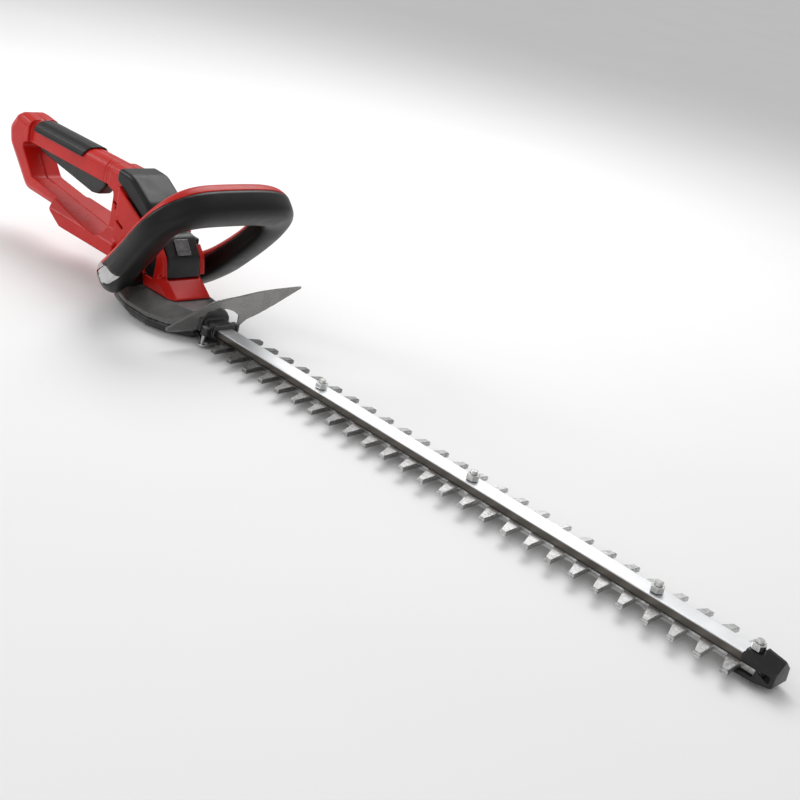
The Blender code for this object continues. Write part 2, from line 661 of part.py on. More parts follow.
def opening_outline():
    return rounded([(-251 * MM, 90 * MM, 6 * MM), (-227 * MM, 63 * MM, 6 * MM),
                    (COLUMN_REAR_X, 47 * MM, 6 * MM),
                    (COLUMN_REAR_X, GRIP_UNDER_Z, 6 * MM), (-248 * MM, GRIP_UNDER_Z, 5 * MM)], 4)


def body_outline():
    return [(BODY_REAR_X, BODY_UNDER_Z + 8 * MM), (MOTOR_BAY_X, BODY_UNDER_Z + 8 * MM),
            (MOTOR_BAY_X, SHELL_TOP_Z + GAP), (BODY_FRONT_X, SHELL_TOP_Z + GAP), (BODY_FRONT_X, 96 * MM),
            (BODY_REAR_X - 4 * MM, 121 * MM)]


def cover_outline():
    """The profile of everything above the parting line."""
    return rounded([(-96 * MM, 90 * MM, 0), (BODY_FRONT_X, 60 * MM, 0), (BODY_FRONT_X, 88 * MM, 4 * MM),
                    (-26 * MM, 103 * MM, 16 * MM), (-56 * MM, 119.5 * MM, 20 * MM),
                    (-96 * MM, 122 * MM, 0)], 4)


def above_parting(gap):
    """A tool that covers the space over the parting line, raised by a gap."""
    x0, z0 = PARTING_REAR
    return prism([(x0 + gap, z0 + gap), (x0 + gap, 150 * MM), (40 * MM, 150 * MM),
                  (40 * MM, parting_z(40 * MM) + gap)],
                 -60 * MM, 60 * MM)


def block_outline():
    return rounded([(-178 * MM, 54 * MM, 3 * MM), (-171 * MM, 46 * MM, 3 * MM),
                    (-152 * MM, BODY_UNDER_Z, 6 * MM),
                    (-60 * MM, BODY_UNDER_Z, 0), (-60 * MM, BLOCK_TOP_Z, 0), (-178 * MM, BLOCK_TOP_Z, 0)],
                   3)


def block_section():
    """The block's section: it swells from the handle's lower bar out to full width."""
    low = BODY_UNDER_Z - MM
    waist = HANDLE_HALF - MM
    return [(-BODY_HALF, low), (BODY_HALF, low), (BODY_HALF, BLOCK_SHOULDER_Z), (waist, BLOCK_TOP_Z + MM),
            (-waist, BLOCK_TOP_Z + MM), (-BODY_HALF, BLOCK_SHOULDER_Z)]


def grip_arch(grow, low):
    """The grip's section from (y, z) low on the left, over the top, to the right."""
    half, rise = GRIP_HALF + grow, GRIP_ARCH + grow
    points = [(half, low)]
    for k in range(11):
        t = math.pi * k / 10
        c, s = math.cos(t), math.sin(t)
        points.append((half * math.copysign(abs(c) ** (2 / 2.8), c),
                       GRIP_TOP_Z - GRIP_ARCH + rise * s ** (2 / 2.8)))
    return points + [(-half, low)]


def housing_form():
    """The full red housing before it is hollowed and split."""
    form = soften(prism(handle_outline(), -HANDLE_HALF, HANDLE_HALF), 8 * MM, 2, 60)
    waist = box(-243 * MM, -96 * MM, -40 * MM, 40 * MM, 91 * MM, 140 * MM)
    cut(waist, prism(grip_arch(0.0, 80 * MM), -260 * MM, -80 * MM, "X"))
    opening = prism(opening_outline(), -BODY_HALF - MM, BODY_HALF + MM)
    cut(form, waist, solver="MANIFOLD")
    body = soften(prism(body_outline(), -MOTOR_BODY_HALF, MOTOR_BODY_HALF), 6 * MM, 2, 60)
    block = prism(block_outline(), -BODY_HALF - MM, BODY_HALF + MM)
    combine(block, prism(block_section(), -200 * MM, -60 * MM, "X"), "INTERSECT", "MANIFOLD")
    soften(block, 3 * MM, 2, 40)
    join(form, body, block, solver="MANIFOLD")
    return cut(form, opening, above_parting(0.0), solver="MANIFOLD")


def housing_cavities():
    wall = HOUSING_WALL
    half = MOTOR_BODY_HALF - wall
    front = BODY_FRONT_X + MM
    bay = prism([(MOTOR_BAY_X + wall, SHELL_TOP_Z - MM), (front, SHELL_TOP_Z - MM), (front, 130 * MM),
                 (MOTOR_BAY_X + wall, 130 * MM)], -half, half)
    column = box(-80 * MM, -58 * MM, -14 * MM, 14 * MM, 52 * MM, 104 * MM)
    link = box(-100 * MM, -78 * MM, -9 * MM, 9 * MM, 98.5 * MM, 104 * MM)
    battery_bay = box(-200 * MM, -66 * MM, -26 * MM, 26 * MM, 30 * MM, BAY_ROOF_Z)
    channel = box(-238 * MM, -98 * MM, -10.5 * MM, 10.5 * MM, GRIP_UNDER_Z + 2.5 * MM, 115 * MM)
    spring_room = box(-233 * MM, -223 * MM, -11 * MM, 11 * MM, 97 * MM, 105 * MM)
    slot = box(-237 * MM, -113 * MM, -TRIGGER_HALF - 2 * GAP, TRIGGER_HALF + 2 * GAP, 90 * MM, 100 * MM)
    pin_hole = rod(TRIGGER_PIVOT[0], TRIGGER_PIVOT[2], 2 * MM + GAP, -12.4 * MM, 12.4 * MM, "Y", 14)
    return [bay, column, link, battery_bay, channel, spring_room, slot, pin_hole]


def housing():
    for name, side in (("housing_right", -1), ("housing_left", 1)):
        half = housing_form()
        cut(half, *housing_cavities(), solver="MANIFOLD")
        if side > 0:
            other = box(-400 * MM, 100 * MM, -80 * MM, GAP / 2, -10 * MM, 200 * MM)
        else:
            other = box(-400 * MM, 100 * MM, -GAP / 2, 80 * MM, -10 * MM, 200 * MM)
        cut(half, other, solver="MANIFOLD")
        finish(half, name, "red_plastic")


def trigger():
    x, _, z = TRIGGER_PIVOT
    lever = prism(rounded([(-236 * MM, 97 * MM, 2 * MM), (-233 * MM, 90 * MM, 3 * MM),
                           (-136 * MM, 77 * MM, 5 * MM),
                           (-124 * MM, 79 * MM, 4 * MM), (-115 * MM, 89 * MM, 2 * MM),
                           (-115 * MM, 97 * MM, 0),
                           (-222 * MM, 97 * MM, 0), (-223 * MM, 104.5 * MM, 2 * MM),
                           (-233 * MM, 104.5 * MM, 3 * MM)], 3), -TRIGGER_HALF, TRIGGER_HALF)
    soften(lever, 1.6 * MM, 2, 50)
    cut(lever, rod(x, z, 2 * MM + GAP, -20 * MM, 20 * MM, "Y", 14))
    finish(lever, "trigger", "black_plastic", TRIGGER_PIVOT)
    finish(rod(x, z, 2 * MM, -12 * MM, 12 * MM, "Y", 14), "trigger_pin", "steel")
    switch = soften(box(-152 * MM, -128 * MM, -6 * MM, 6 * MM, 105.5 * MM, 114 * MM), 0.6 * MM, 1)
    finish(switch, "main_switch", "black_plastic")


def coil(name, centre, axis, radius, wire, turns, length, finish_name="steel"):
    """A wound spring about an axis: a bevelled curve with capped ends, made solid."""
    curve = bpy.data.curves.new(name, "CURVE")
    curve.dimensions = "3D"
    curve.bevel_depth = wire
    curve.bevel_resolution = 0
    curve.use_fill_caps = True
    line = curve.splines.new("POLY")
    per_turn = 8
    count = int(turns * per_turn) + 1
    line.points.add(count - 1)
    turn = Vector((0.0, 0.0, 1.0)).rotation_difference(Vector(axis))
    for i in range(count):
        angle = 2 * math.pi * i / per_turn
        along = -length / 2 + length * i / (count - 1)
        spot = Vector(centre) + turn @ Vector((radius * math.cos(angle), radius * math.sin(angle), along))
        line.points[i].co = (*spot, 1.0)
    made = bpy.data.objects.new("work", curve)
    bpy.context.scene.collection.objects.link(made)
    depsgraph = bpy.context.evaluated_depsgraph_get()
    mesh = bpy.data.meshes.new_from_object(made.evaluated_get(depsgraph))
    bpy.data.objects.remove(made, do_unlink=True)
    body = bpy.data.objects.new("work", mesh)
    bpy.context.scene.collection.objects.link(body)
    return finish(weld(body), name, finish_name, smooth=60)


housing()
trigger()
coil("trigger_spring", (TRIGGER_PIVOT[0], 9.2 * MM, TRIGGER_PIVOT[2]), (0, 1, 0), 3 * MM, 0.45 * MM, 2.0,
     1.6 * MM)


def grip_overmould():
    """The soft pad let over the top of the rear grip."""
    base = GRIP_TOP_Z - GRIP_ARCH - 2 * MM
    outside = grip_arch(GAP + OVERMOULD_THICK, base)
    inside = grip_arch(GAP, base)
    made = prism(outside + inside[::-1], -237 * MM, -136 * MM, "X")
    edge = [(-260 * MM, 90 * MM), (-130 * MM, 90 * MM), (-130 * MM, 130 * MM), (-141 * MM, 130 * MM),
            (-149 * MM, 109.5 * MM), (-260 * MM, 109.5 * MM)]
    cut(made, prism(edge, -40 * MM, 40 * MM))
    return finish(made, "grip_overmould", "soft_grip")


def motor_cover():
    """The dark cap over the motor, whose edge slopes down to the nose."""
    form = soften(prism(cover_outline(), -COVER_HALF, COVER_HALF), 12 * MM, 4, 60)
    combine(form, above_parting(1.2 * GAP), "INTERSECT", "MANIFOLD")
    hollow = prism([(-60 * MM, parting_z(-60 * MM) - MM), (-16 * MM, parting_z(-16 * MM) - MM),
                    (-16 * MM, 84 * MM),
                    (-28 * MM, 98 * MM), (-50 * MM, 109 * MM), (-60 * MM, 109 * MM)],
                   -COVER_HALF + 6 * MM, COVER_HALF - 6 * MM)
    cut(form, hollow, solver="MANIFOLD")
    return finish(form, "motor_cover", "soft_grip")


def electrics():
    """The parts in the body: battery rails, terminal block and control board."""
    for name, side in (("battery_rail_right", -1), ("battery_rail_left", 1)):
        low, high = BAY_ROOF_Z - 7 * MM, BAY_ROOF_Z - GAP
        outline = [(side * 25 * MM, low), (side * 25 * MM, high), (side * 20 * MM, high),
                   (side * 20 * MM, high - 2.4 * MM),
                   (side * 22.4 * MM, high - 2.4 * MM), (side * 22.4 * MM, low + 2.4 * MM),
                   (side * 18 * MM, low + 2.4 * MM), (side * 18 * MM, low)]
        finish(prism(outline, -158 * MM, -70 * MM, "X"), name, "black_plastic")
    block = soften(box(-88 * MM, -68 * MM, -14 * MM, 14 * MM, BAY_ROOF_Z - 8 * MM, BAY_ROOF_Z - GAP),
                   0.6 * MM, 1)
    for y in (-8, -3, 3, 8):
        slot = box(-90 * MM, -74 * MM, (y - 0.8) * MM, (y + 0.8) * MM, BAY_ROOF_Z - 9 * MM,
                   BAY_ROOF_Z - 3 * MM)
        cut(block, slot)
    finish(block, "terminal_block", "black_plastic")
    board = box(-74 * MM, -72.4 * MM, -13 * MM, 13 * MM, 56 * MM, 96 * MM)
    finish(board, "control_board", "board")


grip_overmould()
motor_cover()
electrics()


# --- front of the body: red nose, black insert and plate ---------------------

def corner_wedge(side, start, end, width):
    """A wedge that chamfers the nose's sloping corner, from start to end in x and z."""
    run = Vector((end[0] - start[0], 0, end[1] - start[1])).normalized()
    out = Vector((run.z, 0, -run.x))
    if out.x < 0:
        out = -out
    across = Vector((0, side, 0))
    points = []
    for x, z in (start, end):
        corner = Vector((x, side * NOSE_HALF, z))
        corner += run * (-12 * MM if (x, z) == start else 6 * MM)
        points += [corner - across * width + out * MM, corner - out * width + across * MM,
                   corner + (out + across) * 2 * MM]
    return hull(points)


def hull(points):
    """The closed convex solid round a few points."""
    made = bmesh.new()
    for point in points:
        made.verts.new(point)
    bmesh.ops.convex_hull(made, input=made.verts)
    bmesh.ops.recalc_face_normals(made, faces=made.faces)
    mesh = bpy.data.meshes.new("hull")
    made.to_mesh(mesh)
    made.free()
    piece = bpy.data.objects.new("hull", mesh)
    bpy.context.scene.collection.objects.link(piece)
    return piece


def nose():
    wall = HOUSING_WALL
    back = BODY_FRONT_X + GAP
    low = SHELL_TOP_Z + GAP
    outline = rounded([(back, low, 0), (36 * MM, low, 0), (36 * MM, 29 * MM, 2 * MM),
                       (17 * MM, 42 * MM, 2 * MM),
                       (13 * MM, 60 * MM, 14 * MM), (-2 * MM, 76 * MM, 8 * MM), (back, 77 * MM, 0)], 4)
    form = prism(outline, -NOSE_HALF, NOSE_HALF)
    soften(form, 2 * MM, 2, 60)
    slope = ((36 * MM, 29 * MM), (17 * MM, 42 * MM))
    cut(form, corner_wedge(-1, *slope, NOSE_CHAMFER), corner_wedge(1, *slope, NOSE_CHAMFER),
        solver="MANIFOLD")
    inner = prism([(back - MM, low - MM), (26 * MM, low - MM), (12 * MM, 37 * MM), (11 * MM, 41.5 * MM),
                   (back - MM, 41.5 * MM)], -NOSE_HALF + 2 * wall, NOSE_HALF - 2 * wall)
    window = box(back - MM, 40 * MM, -19 * MM, 19 * MM, 41 * MM, 90 * MM)
    sides = box(back - MM, 3 * MM, -30 * MM, 30 * MM, 38 * MM, 90 * MM)
    cut(form, inner, window, sides, solver="MANIFOLD")
    finish(form, "nose_cover", "red_plastic")
    face = rounded([(back, 42 * MM, 0), (16.5 * MM, 42 * MM, MM), (14.5 * MM, 60 * MM, 14 * MM),
                    (0.0, 78.5 * MM, 9 * MM),
                    (back, 80 * MM, 0)], 5)
    insert = soften(prism(face, -19 * MM + GAP, 19 * MM - GAP), 2 * MM, 2, 60)
    cheeks = soften(box(back, 3 * MM - GAP, -24 * MM, 24 * MM, 38 * MM + GAP, 76 * MM), 2 * MM, 2, 60)
    join(insert, cheeks, solver="MANIFOLD")
    hollow = box(back - MM, 9 * MM, -15 * MM, 15 * MM, 46 * MM, 66 * MM)
    cut(insert, hollow, solver="MANIFOLD")
    finish(insert, "front_insert", "black_plastic")


def badge_plate():
    """A plain square plate on the slope of the insert."""
    half = 8 * MM
    thick = 1.4 * MM
    start = (14.5 * MM, 60 * MM)
    end = (0.0, 78.5 * MM)
    length = math.hypot(end[0] - start[0], end[1] - start[1])
    ux, uz = (end[0] - start[0]) / length, (end[1] - start[1]) / length
    nx, nz = uz, -ux
    middle = (7.2 * MM + nx * GAP, 69.3 * MM + nz * GAP)
    outline = [(middle[0] - ux * half, middle[1] - uz * half),
               (middle[0] + ux * half, middle[1] + uz * half),
               (middle[0] + ux * half + nx * thick, middle[1] + uz * half + nz * thick),
               (middle[0] - ux * half + nx * thick, middle[1] - uz * half + nz * thick)]
    made = prism(outline, -half, half)
    soften(made, 0.4 * MM, 1, 50)
    return finish(made, "badge_plate", "black_plastic")


nose()
badge_plate()


# --- front loop handle ------------------------------------------------------

LEAN = math.radians(LOOP_LEAN)
UP_SLOPE = (math.cos(LEAN), math.sin(LEAN))       # along the loop's plane, in x and z
ACROSS = (-math.sin(LEAN), math.cos(LEAN))        # off the loop's plane, to the rear
FOOT_TURN = 6.5                                   # degrees left open at the bottom, each side
FOOT_FILL_FROM = 22 * MM                          # the feet grow solid below this
FOOT_FILL_OVER = 12 * MM
SWITCH_HALF = 40 * MM
SWITCH_TRAVEL = 3 * MM


def loop_centre(angle):
    """The loop's centre line: y across, and s along its slope."""
    c, s = math.cos(angle), math.sin(angle)
    y = LOOP_HALF_WIDE * math.copysign(abs(c) ** (2 / LOOP_POWER), c)
    reach = LOOP_RISE if s > 0 else LOOP_DROP
    rise = reach * math.copysign(abs(s) ** (2 / LOOP_POWER), s)
    return y * (1 + LOOP_FLARE * rise / LOOP_RISE), rise


def loop_station(angle):
    """The centre, the outward direction and the tube's depth at one angle."""
    y, s = loop_centre(angle)
    y1, s1 = loop_centre(angle - 0.01)
    y2, s2 = loop_centre(angle + 0.01)
    ty, ts = y2 - y1, s2 - s1
    length = math.hypot(ty, ts)
    ty, ts = ty / length, ts / length
    level = ty * ty if s > 0 else 0.0
    deep = ARM_DEEP + (BAR_DEEP - ARM_DEEP) * level
    if s < 0:
        deep += 6 * MM * (-s / LOOP_DROP)
    return y, s, ts, -ty, deep


def loop_point(station, out, off):
    """A point out from the centre line in the loop's plane, and off it to the rear."""
    y, s, ny, ns, _ = station
    along = s + ns * out
    away = off + LOOP_BOW * (s / LOOP_RISE) ** 2
    return (LOOP_X + along * UP_SLOPE[0] + away * ACROSS[0], y + ny * out,
            LOOP_Z + along * UP_SLOPE[1] + away * ACROSS[1])


def loop_angles(count):
    """Angles from the right foot over the top to the left foot."""
    first = math.radians(-90 + FOOT_TURN)
    span = 2 * math.pi - 2 * math.radians(FOOT_TURN)
    return [first + span * i / (count - 1) for i in range(count)]


def section_arc(a, b, level, side, steps):
    """A rounded section's part on one side of a level, as (out, off) pairs."""
    first = math.asin((level / b) ** 1.5)
    last = math.pi - first if side > 0 else -math.pi - first
    points = []
    for k in range(steps + 1):
        t = first + (last - first) * k / steps
        c, s = math.cos(t), math.sin(t)
        points.append((a * math.copysign(abs(c) ** (2 / 3), c), b * math.copysign(abs(s) ** (2 / 3), s)))
    return points


def half_section(station, side):
    """One shell's wall: out along the outer face and back along the inner one."""
    a, b = BAR_WIDE / 2, station[4] / 2
    level = LOOP_SPLIT + side * GAP / 2
    outer = section_arc(a, b, level, side, 7 if side > 0 else 10)
    fill = 1 - 0.75 * min(max((-station[1] - FOOT_FILL_FROM) / FOOT_FILL_OVER, 0.0), 1.0)
    inner_b = max((b - LOOP_WALL) * fill, LOOP_SPLIT + 1.4 * MM)
    inner = section_arc((a - LOOP_WALL) * fill, inner_b, level, side, 5 if side > 0 else 7)
    return outer + inner[::-1]


def top_stations(half_y, count):
    """Stations of the top bar from one side to the other."""
    angles = []
    for i in range(count):
        y = half_y - 2 * half_y * i / (count - 1)
        low, high = 0.02, math.pi - 0.02
        for _ in range(40):
            middle = (low + high) / 2
            if loop_centre(middle)[0] > y:
                low = middle
            else:
                high = middle
        angles.append((low + high) / 2)
    return [loop_station(angle) for angle in angles]


def along_bar(half_y, pairs, count=9):
    """A solid that follows the top bar, with a section of (out, off) pairs."""
    return loft([[loop_point(station, out, off) for out, off in pairs] for station in top_stations(half_y,
                                                                                                   count)])


NOTCH = [(-60 * MM, 51 * MM), (-18 * MM, 51 * MM), (1 * MM, 53 * MM), (17 * MM, 45 * MM),
         (5 * MM, 34 * MM),
         (-4 * MM, 8 * MM), (-60 * MM, 8 * MM)]


def loop_shell(name, side, finish_name):
    stations = [loop_station(angle) for angle in loop_angles(38)]
    made = loft([[loop_point(st, out, off) for out, off in half_section(st, side)] for st in stations])
    clear = MOTOR_BODY_HALF + 2 * GAP
    inner = BAR_WIDE / 2
    slot = along_bar(SWITCH_HALF + 2 * GAP, [(-inner - 4 * MM, -5.4 * MM), (-inner + 4 * MM, -5.4 * MM),
                                             (-inner + 4 * MM, 5.4 * MM), (-inner - 4 * MM, 5.4 * MM)])
    if side < 0:
        cut(made, slot)
    else:
        bpy.data.objects.remove(slot, do_unlink=True)
    for sign in (-1, 1):
        y0, y1 = sorted((sign * NOTCH_FROM, sign * 100 * MM))
        cut(made, prism(NOTCH, y0, y1))
    cut(made,
        box(-90 * MM, 60 * MM, -clear, clear, 0.0, 60 * MM),
        box(-90 * MM, 60 * MM, -SHELL_HALF - MM, SHELL_HALF + MM, 0.0, SHELL_TOP_Z + GAP),
        box(-90 * MM, -55 * MM, -BODY_HALF - GAP, BODY_HALF + GAP, 0.0, 60 * MM))
    return finish(made, name, finish_name, smooth=60)


def loop_switch():
    """The sprung bar on the inner face of the loop's top, with its springs and switch."""
    inner = BAR_WIDE / 2
    face, back = -inner - 3.6 * MM, -inner + LOOP_WALL + 4.6 * MM
    lip = -inner + LOOP_WALL + 1.5 * MM
    pairs = [(face, -3.6 * MM), (face, 3.6 * MM), (face + 1.2 * MM, 5 * MM), (lip, 5 * MM), (lip, 7 * MM),
             (back, 7 * MM),
             (back, -7 * MM), (lip, -7 * MM), (lip, -5 * MM), (face + 1.2 * MM, -5 * MM)]
    finish(along_bar(SWITCH_HALF, pairs), "loop_switch_bar", "black_plastic", smooth=50)
    for name, station in zip(("switch_spring_left", "switch_spring_right"), (top_stations(28 * MM, 2))):
        low, high = back + SWITCH_TRAVEL + 0.8 * MM, inner - LOOP_WALL - 1.0 * MM
        centre = loop_point(station, (low + high) / 2, 0.0)
        near = Vector(loop_point(station, low, 0.0))
        far = Vector(loop_point(station, high, 0.0))
        coil(name, centre, (far - near).normalized(), 3 * MM, 0.45 * MM, 4.0,
             (far - near).length - 1.2 * MM)
    body = along_bar(9 * MM, [(back + SWITCH_TRAVEL + MM, -5 * MM), (inner - LOOP_WALL - 3 * MM, -5 * MM),
                              (inner - LOOP_WALL - 3 * MM, 5 * MM), (back + SWITCH_TRAVEL + MM, 5 * MM)],
                     3)
    finish(body, "loop_micro_switch", "black_plastic")


loop_shell("loop_front_shell", -1, "soft_grip")
loop_shell("loop_rear_shell", 1, "red_plastic")
loop_switch()
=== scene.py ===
# %% [markdown]
# A cordless hedge trimmer: a red moulded body with a rear trigger handle, a black and red front
# loop, a grey gearbox, a smoked hand guard and a long two-sided cutter.
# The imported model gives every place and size. This script gives each piece its fine surface
# and its finish, piece by piece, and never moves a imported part.

# %% Load the frame
import json
import math

import bmesh
import bpy
from mathutils import Matrix, Vector


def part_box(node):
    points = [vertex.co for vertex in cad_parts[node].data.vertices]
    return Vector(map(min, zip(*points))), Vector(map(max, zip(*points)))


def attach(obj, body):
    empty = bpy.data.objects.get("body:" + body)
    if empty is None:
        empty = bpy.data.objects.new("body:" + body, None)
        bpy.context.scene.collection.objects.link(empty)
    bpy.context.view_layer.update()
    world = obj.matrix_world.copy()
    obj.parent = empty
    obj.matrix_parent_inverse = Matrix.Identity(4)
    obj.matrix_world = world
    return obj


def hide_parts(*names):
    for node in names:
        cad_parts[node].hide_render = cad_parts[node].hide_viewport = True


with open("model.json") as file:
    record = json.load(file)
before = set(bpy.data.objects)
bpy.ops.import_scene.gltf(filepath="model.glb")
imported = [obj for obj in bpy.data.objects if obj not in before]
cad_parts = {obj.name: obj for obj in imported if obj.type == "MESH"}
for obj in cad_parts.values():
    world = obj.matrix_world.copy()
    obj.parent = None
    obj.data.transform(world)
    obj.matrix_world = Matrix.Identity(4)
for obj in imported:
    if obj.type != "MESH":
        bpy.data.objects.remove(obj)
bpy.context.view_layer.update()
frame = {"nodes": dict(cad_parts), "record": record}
MM = 0.001
print("pieces in the frame:", len(frame["nodes"]))

# %% [markdown]
# Every finish here is a Principled shader fed by a few shared effects. Moulded nylon, soft
# elastomer and die-castings differ in colour, gloss and grain, but all have a fine texture,
# slow drifts of tone, paler rubbed edges and a little settled dust. Each effect is a node
# group with named inputs, because one group is easier to correct than fifteen copies.

# %% Helpers for node groups
def new_group(name, inputs, outputs):
    """An empty node group with the given sockets: (name, kind, default)."""
    group = bpy.data.node_groups.new(name, "ShaderNodeTree")
    for label, kind, default in inputs:
        socket = group.interface.new_socket(label, in_out="INPUT", socket_type=kind)
        socket.default_value = default
    for label, kind in outputs:
        group.interface.new_socket(label, in_out="OUTPUT", socket_type=kind)
    entry = group.nodes.new("NodeGroupInput")
    leave = group.nodes.new("NodeGroupOutput")
    return group, entry, leave


def add(tree, kind, **values):
    """A node with some of its properties set."""
    node = tree.nodes.new(kind)
    for key, value in values.items():
        setattr(node, key, value)
    return node


def math_node(tree, operation, first, second):
    """first and second are sockets or plain numbers; gives the result's socket."""
    node = add(tree, "ShaderNodeMath", operation=operation)
    for socket, value in zip(node.inputs, (first, second)):
        if isinstance(value, (int, float)):
            socket.default_value = value
        else:
            tree.links.new(value, socket)
    return node.outputs[0]


def noise(tree, scale, detail=3.0, stretch=(1.0, 1.0, 1.0)):
    """Noise in the object's own metres. scale is a socket or a number."""
    place = add(tree, "ShaderNodeTexCoord")
    mapping = add(tree, "ShaderNodeMapping")
    mapping.inputs["Scale"].default_value = stretch
    cloud = add(tree, "ShaderNodeTexNoise")
    cloud.inputs["Detail"].default_value = detail
    tree.links.new(place.outputs["Object"], mapping.inputs["Vector"])
    tree.links.new(mapping.outputs["Vector"], cloud.inputs["Vector"])
    if isinstance(scale, (int, float)):
        cloud.inputs["Scale"].default_value = scale
    else:
        tree.links.new(scale, cloud.inputs["Scale"])
    return cloud.outputs["Fac"]


def spread(tree, value, low, high, to_low=0.0, to_high=1.0):
    """Stretches a value's low..high to a new range."""
    node = add(tree, "ShaderNodeMapRange")
    node.inputs["From Min"].default_value = low
    node.inputs["From Max"].default_value = high
    node.inputs["To Min"].default_value = to_low
    node.inputs["To Max"].default_value = to_high
    tree.links.new(value, node.inputs["Value"])
    return node.outputs["Result"]


# %% [markdown]
# Spark-eroded mould steel leaves a fine leathery grain on every plastic face. Two sizes of
# noise laid over each other give it: a coarse one for the pits and a fine one for the sheen.

# %% Group: mould grain
def grain_group():
    group, entry, leave = new_group("mould grain", [("Scale", "NodeSocketFloat", 900.0)],
                                    [("Height", "NodeSocketFloat")])
    coarse = noise(group, entry.outputs["Scale"], 2.0)
    finer = math_node(group, "MULTIPLY", entry.outputs["Scale"], 3.7)
    fine = math_node(group, "MULTIPLY", noise(group, finer, 2.0), 0.45)
    group.links.new(math_node(group, "ADD", coarse, fine), leave.inputs["Height"])
    return group


GRAIN = grain_group()
print("group:", GRAIN.name)

# %% [markdown]
# Corners that gloves and hedges rub go a little paler. The mesh's own curvature finds them,
# and noise breaks the line so that it isn't a drawn outline.

# %% Group: rubbed edges
def edge_group():
    group, entry, leave = new_group("rubbed edges", [("Amount", "NodeSocketFloat", 0.5),
                                                     ("Breakup", "NodeSocketFloat", 260.0)],
                                    [("Mask", "NodeSocketFloat")])
    shape = add(group, "ShaderNodeNewGeometry")
    ridge = spread(group, shape.outputs["Pointiness"], 0.515, 0.60)
    patch = spread(group, noise(group, entry.outputs["Breakup"], 4.0), 0.38, 0.62)
    rubbed = math_node(group, "MULTIPLY", ridge, patch)
    group.links.new(math_node(group, "MULTIPLY", rubbed, entry.outputs["Amount"]), leave.inputs["Mask"])
    return group


EDGES = edge_group()
print("group:", EDGES.name)

# %% [markdown]
# Dust and fine plant sap settle on what faces up. The surface's upward direction times a
# cloudy noise says where, and the mask lightens the colour and dulls the gloss.

# %% Group: settled dust
def dust_group():
    group, entry, leave = new_group("settled dust", [("Amount", "NodeSocketFloat", 0.3)],
                                    [("Mask", "NodeSocketFloat")])
    shape = add(group, "ShaderNodeNewGeometry")
    split = add(group, "ShaderNodeSeparateXYZ")
    group.links.new(shape.outputs["Normal"], split.inputs[0])
    upward = spread(group, split.outputs["Z"], 0.35, 1.0)
    cloud = spread(group, noise(group, 55.0, 5.0), 0.42, 0.70)
    mask = math_node(group, "MULTIPLY", upward, cloud)
    group.links.new(math_node(group, "MULTIPLY", mask, entry.outputs["Amount"]), leave.inputs["Mask"])
    return group


DUST = dust_group()
print("group:", DUST.name)

# %% [markdown]
# Rolled, drawn and ground metal carries long fine lines. Noise squeezed hard along one
# direction gives them; the group puts out both a height and a streak value for the gloss.

# %% Group: drawn lines
def line_group():
    group, entry, leave = new_group("drawn lines", [("Scale", "NodeSocketFloat", 60.0)],
                                    [("Height", "NodeSocketFloat"), ("Streak", "NodeSocketFloat")])
    lines = noise(group, entry.outputs["Scale"], 6.0, (0.35, 26.0, 26.0))
    cloud = noise(group, 34.0, 4.0)
    streak = math_node(group, "MULTIPLY", spread(group, cloud, 0.3, 0.7), lines)
    group.links.new(lines, leave.inputs["Height"])
    group.links.new(streak, leave.inputs["Streak"])
    return group


LINES = line_group()
print("group:", LINES.name)

# %% [markdown]
# The plastics and painted castings share one recipe: two close tones mixed by slow noise,
# paler edges, dust on top, and the grain as a small bump. Each finish gives its own numbers.

# %% Moulded and cast finishes
def place_group(tree, group, **values):
    node = add(tree, "ShaderNodeGroup", node_tree=group)
    for key, value in values.items():
        node.inputs[key].default_value = value
    return node


def blend_colour(tree, factor, first, second):
    """Mixes two colours; each is a socket or a colour."""
    node = add(tree, "ShaderNodeMix", data_type="RGBA")
    tree.links.new(factor, node.inputs["Factor"])
    for socket, value in ((node.inputs[6], first), (node.inputs[7], second)):
        if isinstance(value, tuple):
            socket.default_value = (*value, 1.0)
        else:
            tree.links.new(value, socket)
    return node.outputs[2]


def new_finish(name):
    material = bpy.data.materials.new(name)
    material.use_nodes = True
    tree = material.node_tree
    tree.nodes.clear()
    leave = add(tree, "ShaderNodeOutputMaterial")
    shader = add(tree, "ShaderNodeBsdfPrincipled")
    tree.links.new(shader.outputs[0], leave.inputs[0])
    return material, tree, shader


def bump(tree, shader, height, depth, strength=1.0):
    node = add(tree, "ShaderNodeBump")
    node.inputs["Strength"].default_value = strength
    node.inputs["Distance"].default_value = depth
    tree.links.new(height, node.inputs["Height"])
    tree.links.new(node.outputs[0], shader.inputs["Normal"])


def moulded(name, deep, light, worn, gloss, grain, depth, wear=0.5, dust=0.25, coat=0.0, drift=26.0,
            shine=0.5):
    """gloss is the (smoothest, roughest) roughness."""
    material, tree, shader = new_finish(name)
    cloud = spread(tree, noise(tree, drift, 4.0), 0.35, 0.65)
    base = blend_colour(tree, cloud, deep, light)
    edges = place_group(tree, EDGES, Amount=wear)
    base = blend_colour(tree, edges.outputs["Mask"], base, worn)
    settled = place_group(tree, DUST, Amount=dust)
    base = blend_colour(tree, settled.outputs["Mask"], base, (0.45, 0.43, 0.40))
    tree.links.new(base, shader.inputs["Base Color"])
    dull = spread(tree, noise(tree, 3.3 * drift, 5.0), 0.3, 0.7, gloss[0], gloss[1])
    dusty = math_node(tree, "MULTIPLY", settled.outputs["Mask"], 0.35)
    tree.links.new(math_node(tree, "ADD", dull, dusty), shader.inputs["Roughness"])
    shader.inputs["Coat Weight"].default_value = coat
    shader.inputs["Specular IOR Level"].default_value = shine
    shader.inputs["Coat Roughness"].default_value = 0.25
    pits = place_group(tree, GRAIN, Scale=grain)
    bump(tree, shader, pits.outputs["Height"], depth)
    return material


